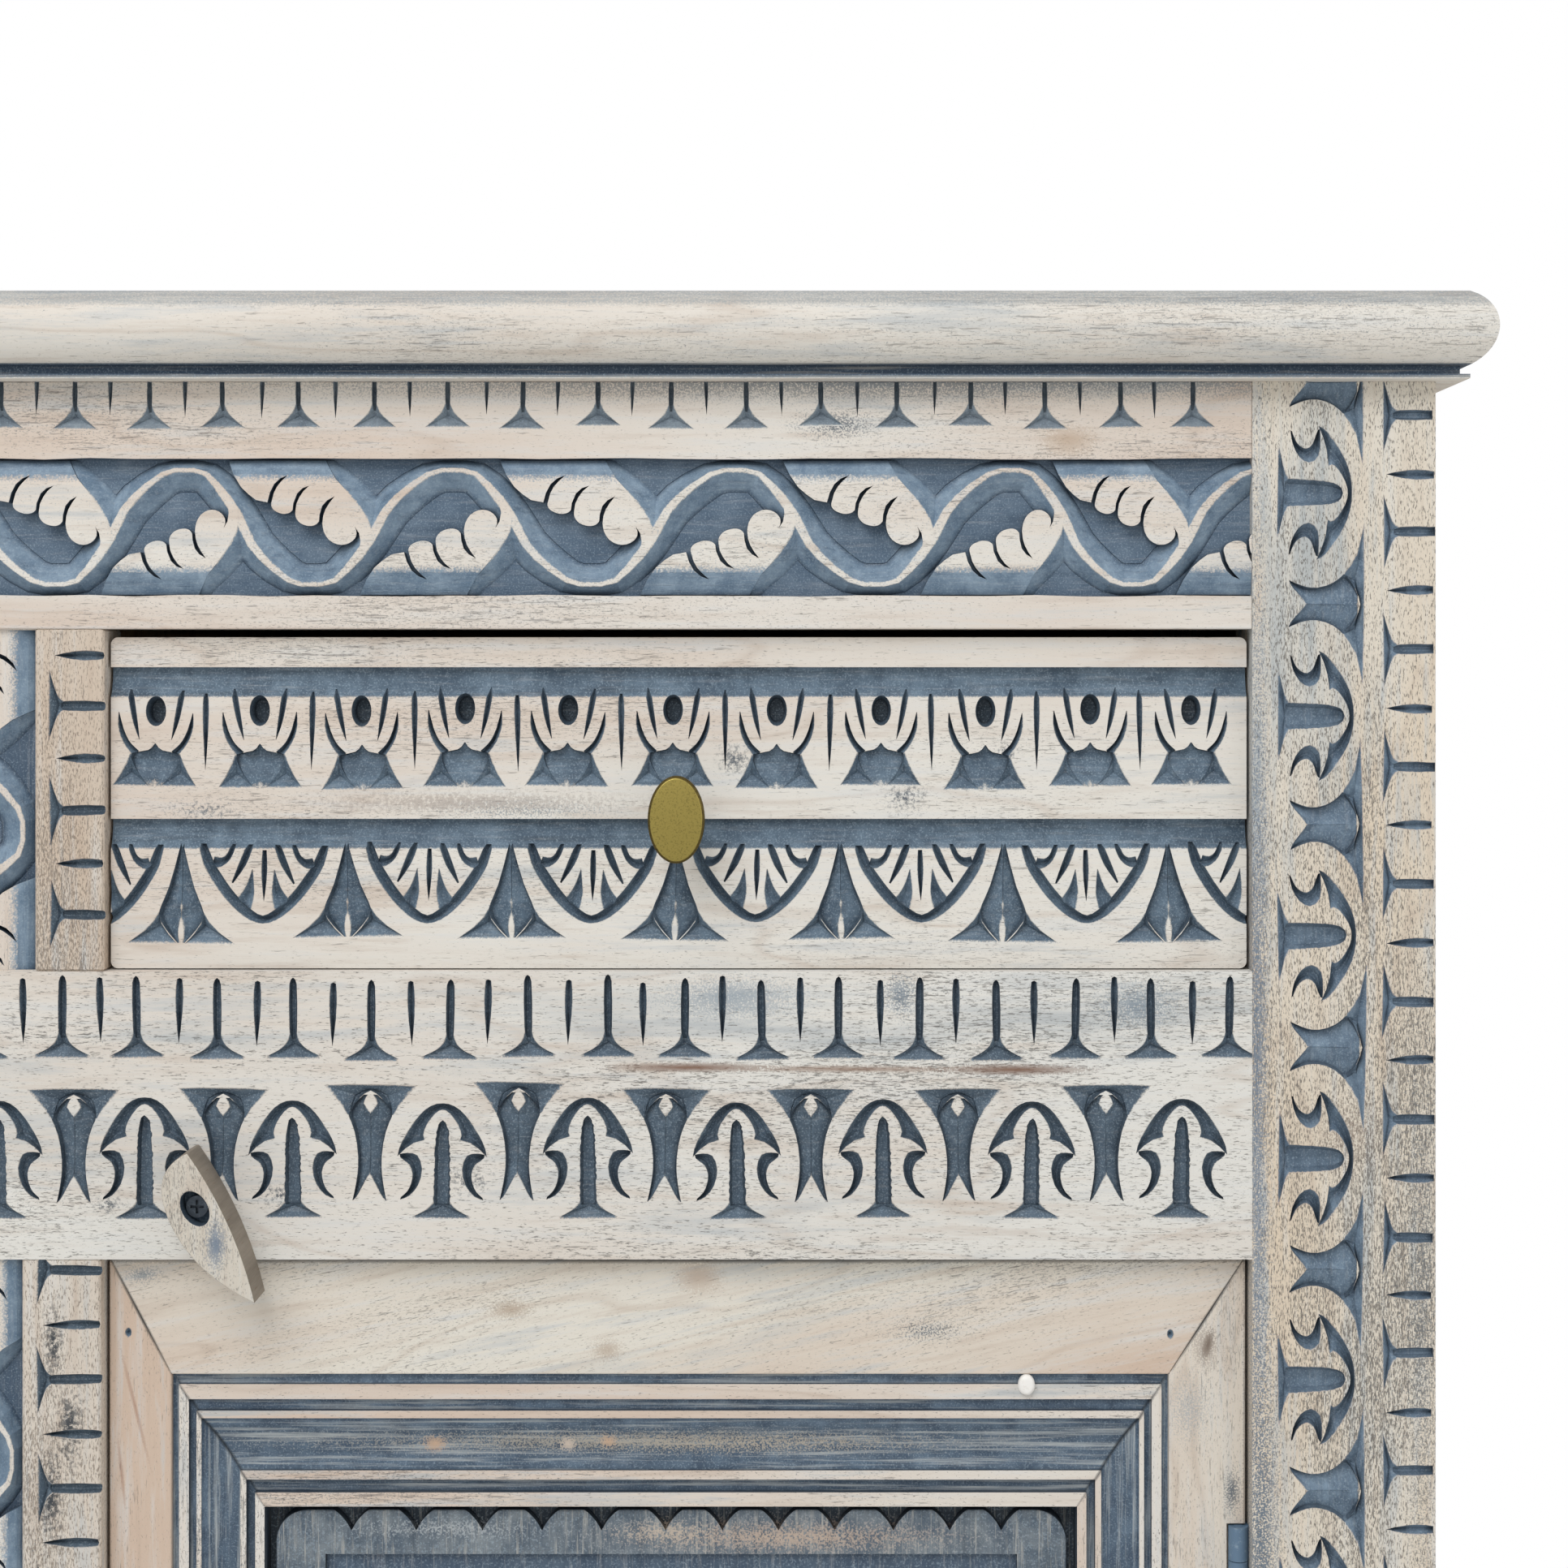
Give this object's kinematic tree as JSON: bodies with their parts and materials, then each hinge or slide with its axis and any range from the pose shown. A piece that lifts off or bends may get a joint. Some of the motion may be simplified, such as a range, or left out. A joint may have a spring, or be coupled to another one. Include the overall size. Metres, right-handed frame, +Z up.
{
  "type": "sideboard cabinet",
  "caption": "Carved two-door, two-drawer sideboard cabinet in whitewashed and blue-washed wood, on plain post legs.",
  "frame": {"origin": "middle of the footprint at the floor", "axes": "+X to the viewer's right along the width, +Y from front to back, +Z up"},
  "size_m": [1.1324, 0.4184, 0.9],
  "materials": {
    "washed_mango": "whitewashed, dry",
    "blue_wash": "blue-grey wash, matt",
    "inner_wood": "bare planed wood",
    "back_ply": "bare plywood",
    "aged_brass": "aged antique brass",
    "hinge_steel": "steel, overpainted by the wash",
    "screw_steel": "dark zinc",
    "white_plastic": "soft white"
  },
  "bodies": {
    "case": {"top_board": "washed_mango", "front_post_left": "washed_mango", "front_post_right": "washed_mango", "rear_post_left": "washed_mango", "rear_post_right": "washed_mango", "frieze_rail": "washed_mango", "drawer_rail": "washed_mango", "bottom_rail": "washed_mango", "upper_stile_left": "washed_mango", "upper_stile_right": "washed_mango", "lower_stile_left": "washed_mango", "lower_stile_right": "washed_mango", "upper_carved_panel": "blue_wash", "lower_carved_panel": "blue_wash", "side_panel_left": "washed_mango", "side_panel_right": "washed_mango", "side_rails_left": "washed_mango", "side_rails_right": "washed_mango", "back_panel": "back_ply", "back_rails": "inner_wood", "bottom_board": "inner_wood", "partition_left": "inner_wood", "partition_right": "inner_wood", "drawer_runners": "inner_wood", "shelf_left": "inner_wood", "shelf_right": "inner_wood", "shelf_cleats": "inner_wood", "corner_blocks": "inner_wood", "post_hinge_leaves": "hinge_steel", "hinge_pins": "hinge_steel", "turn_button_screws": "screw_steel"},
    "drawer_left": {"drawer_front_left": "washed_mango", "drawer_sides_left": "inner_wood", "drawer_back_left": "inner_wood", "drawer_bottom_left": "inner_wood", "drawer_knob_left": "aged_brass", "knob_screw_left": "screw_steel"},
    "door_left": {"door_top_rail_left": "washed_mango", "door_bottom_rail_left": "washed_mango", "door_lock_stile_left": "washed_mango", "door_hinge_stile_left": "washed_mango", "door_moulding_left": "blue_wash", "door_panel_left": "blue_wash", "door_hinge_leaves_left": "hinge_steel"},
    "button_left": {"turn_button_left": "washed_mango"},
    "drawer_right": {"drawer_front_right": "washed_mango", "drawer_sides_right": "inner_wood", "drawer_back_right": "inner_wood", "drawer_bottom_right": "inner_wood", "drawer_knob_right": "aged_brass", "knob_screw_right": "screw_steel"},
    "door_right": {"door_top_rail_right": "washed_mango", "door_bottom_rail_right": "washed_mango", "door_lock_stile_right": "washed_mango", "door_hinge_stile_right": "washed_mango", "door_moulding_right": "blue_wash", "door_panel_right": "blue_wash", "door_hinge_leaves_right": "hinge_steel", "door_bumper": "white_plastic"},
    "button_right": {"turn_button_right": "washed_mango"}
  },
  "joints": [
    {"name": "drawer_left_slide", "type": "slide", "parent": "case", "child": "drawer_left", "axis": [0, -1, 0], "range_m": [0, 0.26]},
    {"name": "door_left_hinge", "type": "hinge", "parent": "case", "child": "door_left", "pos_m": [-0.4761, -0.1833, 0.32], "axis": [0, 0, -1], "range_deg": [0, 105]},
    {"name": "turn_button_left_pivot", "type": "hinge", "parent": "case", "child": "button_left", "pos_m": [-0.0934, -0.1908, 0.5661], "axis": [0, -1, 0], "continuous": true},
    {"name": "drawer_right_slide", "type": "slide", "parent": "case", "child": "drawer_right", "axis": [0, -1, 0], "range_m": [0, 0.26]},
    {"name": "door_right_hinge", "type": "hinge", "parent": "case", "child": "door_right", "pos_m": [0.4761, -0.1833, 0.32], "axis": [0, 0, 1], "range_deg": [0, 105]},
    {"name": "turn_button_right_pivot", "type": "hinge", "parent": "case", "child": "button_right", "pos_m": [0.0934, -0.1908, 0.5661], "axis": [0, -1, 0], "continuous": true}
  ]
}
